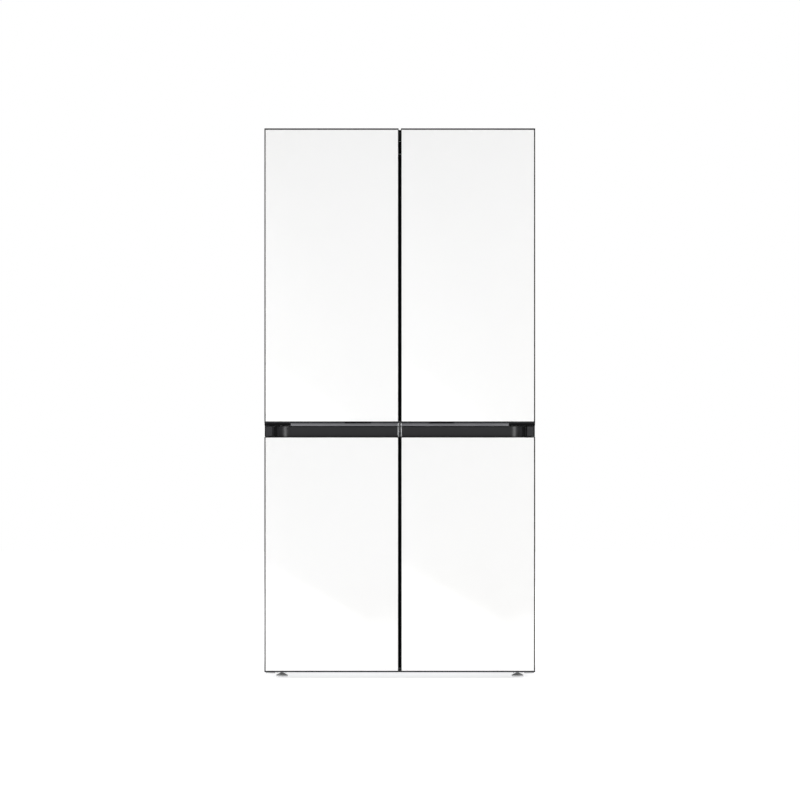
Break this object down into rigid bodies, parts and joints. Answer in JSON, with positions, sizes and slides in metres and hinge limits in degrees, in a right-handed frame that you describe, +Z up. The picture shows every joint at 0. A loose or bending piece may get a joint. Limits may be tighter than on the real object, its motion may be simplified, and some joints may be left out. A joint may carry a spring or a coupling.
{
  "type": "french door refrigerator",
  "caption": "Tall flat-front refrigerator with white glass doors over and under a dark recessed handle band, with shelves, crispers, drawers and door bins inside.",
  "frame": {"origin": "on the floor, under the middle of the whole appliance's outline", "axes": "+Z up, the doors face -Y, +X to the right of a person facing the doors"},
  "size_m": [0.912, 0.716, 1.853],
  "materials": {
    "white_glass": "polished",
    "clear_glass": "polished",
    "charcoal_frame": "satin",
    "charcoal_plastic": "satin",
    "grip_metal": "satin",
    "white_plastic": "satin",
    "clear_plastic": "gloss",
    "gasket_rubber": "matte",
    "painted_sheet": "satin",
    "plated_sheet": "satin",
    "black_enamel": "satin",
    "copper_tube": "satin",
    "foam": "matte"
  },
  "bodies": {
    "cabinet": {"outer_shell": "painted_sheet", "back_panel": "plated_sheet", "insulation_foam": "foam", "fridge_liner": "white_plastic", "freezer_liner": "white_plastic", "flex_liner": "white_plastic", "base_frame": "plated_sheet", "top_front_cover": "charcoal_plastic", "toe_grille": "charcoal_plastic", "machine_cover": "charcoal_plastic", "shelf_upper": "clear_glass", "shelf_lower": "clear_glass", "crisper_cover": "clear_glass", "air_duct": "white_plastic", "mullion_guide": "charcoal_plastic", "compressor": "black_enamel", "condenser": "copper_tube", "fan_shroud": "charcoal_plastic", "top_hinge_left": "plated_sheet", "middle_hinge_left": "charcoal_plastic", "bottom_hinge_left": "plated_sheet", "top_hinge_right": "plated_sheet", "middle_hinge_right": "charcoal_plastic", "bottom_hinge_right": "plated_sheet"},
    "upper_left_door": {"upper_left_door_glass": "white_glass", "upper_left_door_body": "charcoal_frame", "upper_left_door_liner": "white_plastic", "upper_left_door_gasket": "gasket_rubber", "upper_left_door_grip": "grip_metal", "upper_left_door_bin_low": "clear_plastic", "upper_left_door_bin_high": "clear_plastic"},
    "lower_left_door": {"lower_left_door_glass": "white_glass", "lower_left_door_body": "charcoal_frame", "lower_left_door_liner": "white_plastic", "lower_left_door_gasket": "gasket_rubber", "lower_left_door_bin": "clear_plastic"},
    "upper_right_door": {"upper_right_door_glass": "white_glass", "upper_right_door_body": "charcoal_frame", "upper_right_door_liner": "white_plastic", "upper_right_door_gasket": "gasket_rubber", "upper_right_door_grip": "grip_metal", "upper_right_door_bin_low": "clear_plastic", "upper_right_door_bin_high": "clear_plastic"},
    "lower_right_door": {"lower_right_door_glass": "white_glass", "lower_right_door_body": "charcoal_frame", "lower_right_door_liner": "white_plastic", "lower_right_door_gasket": "gasket_rubber", "lower_right_door_bin": "clear_plastic"},
    "folding_mullion": {"folding_mullion": "charcoal_frame"},
    "crisper_left": {"crisper_left": "clear_plastic"},
    "crisper_right": {"crisper_right": "clear_plastic"},
    "freezer_drawer_lower": {"freezer_drawer_lower": "clear_plastic"},
    "freezer_drawer_upper": {"freezer_drawer_upper": "clear_plastic"},
    "flex_drawer_lower": {"flex_drawer_lower": "clear_plastic"},
    "flex_drawer_upper": {"flex_drawer_upper": "clear_plastic"},
    "condenser_fan": {"condenser_fan": "charcoal_plastic"},
    "rear_roller_left": {"rear_roller_left": "charcoal_plastic"},
    "rear_roller_right": {"rear_roller_right": "charcoal_plastic"},
    "front_foot_left": {"front_foot_left": "charcoal_plastic"},
    "front_foot_right": {"front_foot_right": "charcoal_plastic"}
  },
  "joints": [
    {"name": "upper_left_door_hinge", "type": "hinge", "parent": "cabinet", "child": "upper_left_door", "pos_m": [-0.438, -0.338, 1.35], "axis": [0, 0, -1], "range_deg": [0, 130]},
    {"name": "lower_left_door_hinge", "type": "hinge", "parent": "cabinet", "child": "lower_left_door", "pos_m": [-0.438, -0.338, 0.43], "axis": [0, 0, -1], "range_deg": [0, 130]},
    {"name": "upper_right_door_hinge", "type": "hinge", "parent": "cabinet", "child": "upper_right_door", "pos_m": [0.438, -0.338, 1.35], "axis": [0, 0, 1], "range_deg": [0, 130]},
    {"name": "lower_right_door_hinge", "type": "hinge", "parent": "cabinet", "child": "lower_right_door", "pos_m": [0.438, -0.338, 0.43], "axis": [0, 0, 1], "range_deg": [0, 130]},
    {"name": "folding_mullion_fold", "type": "hinge", "parent": "upper_left_door", "child": "folding_mullion", "pos_m": [-0.04, -0.286, 1.321], "axis": [0, 0, 1], "range_deg": [0, 90]},
    {"name": "crisper_left_slide", "type": "slide", "parent": "cabinet", "child": "crisper_left", "axis": [0, -1, 0], "range_m": [0, 0.262]},
    {"name": "crisper_right_slide", "type": "slide", "parent": "cabinet", "child": "crisper_right", "axis": [0, -1, 0], "range_m": [0, 0.262]},
    {"name": "freezer_drawer_lower_slide", "type": "slide", "parent": "cabinet", "child": "freezer_drawer_lower", "axis": [0, -1, 0], "range_m": [0, 0.262]},
    {"name": "freezer_drawer_upper_slide", "type": "slide", "parent": "cabinet", "child": "freezer_drawer_upper", "axis": [0, -1, 0], "range_m": [0, 0.262]},
    {"name": "flex_drawer_lower_slide", "type": "slide", "parent": "cabinet", "child": "flex_drawer_lower", "axis": [0, -1, 0], "range_m": [0, 0.262]},
    {"name": "flex_drawer_upper_slide", "type": "slide", "parent": "cabinet", "child": "flex_drawer_upper", "axis": [0, -1, 0], "range_m": [0, 0.262]},
    {"name": "condenser_fan_spin", "type": "hinge", "parent": "cabinet", "child": "condenser_fan", "pos_m": [-0.022, 0.228, 0.15], "axis": [1, 0, 0], "continuous": true},
    {"name": "rear_roller_left_spin", "type": "hinge", "parent": "cabinet", "child": "rear_roller_left", "pos_m": [-0.4, 0.3, 0.022], "axis": [1, 0, 0], "continuous": true},
    {"name": "rear_roller_right_spin", "type": "hinge", "parent": "cabinet", "child": "rear_roller_right", "pos_m": [0.4, 0.3, 0.022], "axis": [1, 0, 0], "continuous": true},
    {"name": "front_foot_left_turn", "type": "hinge", "parent": "cabinet", "child": "front_foot_left", "pos_m": [-0.4, -0.262, 0], "axis": [0, 0, 1], "continuous": true},
    {"name": "front_foot_right_turn", "type": "hinge", "parent": "cabinet", "child": "front_foot_right", "pos_m": [0.4, -0.262, 0], "axis": [0, 0, 1], "continuous": true}
  ],
  "couplings": [
    {"joint": "folding_mullion_fold", "follows": "upper_left_door_hinge", "ratio": 0.69231},
    {"joint": "crisper_left_slide", "follows": "upper_left_door_hinge", "m_per_rad": 0.115},
    {"joint": "crisper_right_slide", "follows": "upper_right_door_hinge", "m_per_rad": 0.115},
    {"joint": "freezer_drawer_lower_slide", "follows": "lower_left_door_hinge", "m_per_rad": 0.115},
    {"joint": "freezer_drawer_upper_slide", "follows": "lower_left_door_hinge", "m_per_rad": 0.115},
    {"joint": "flex_drawer_lower_slide", "follows": "lower_right_door_hinge", "m_per_rad": 0.115},
    {"joint": "flex_drawer_upper_slide", "follows": "lower_right_door_hinge", "m_per_rad": 0.115}
  ]
}
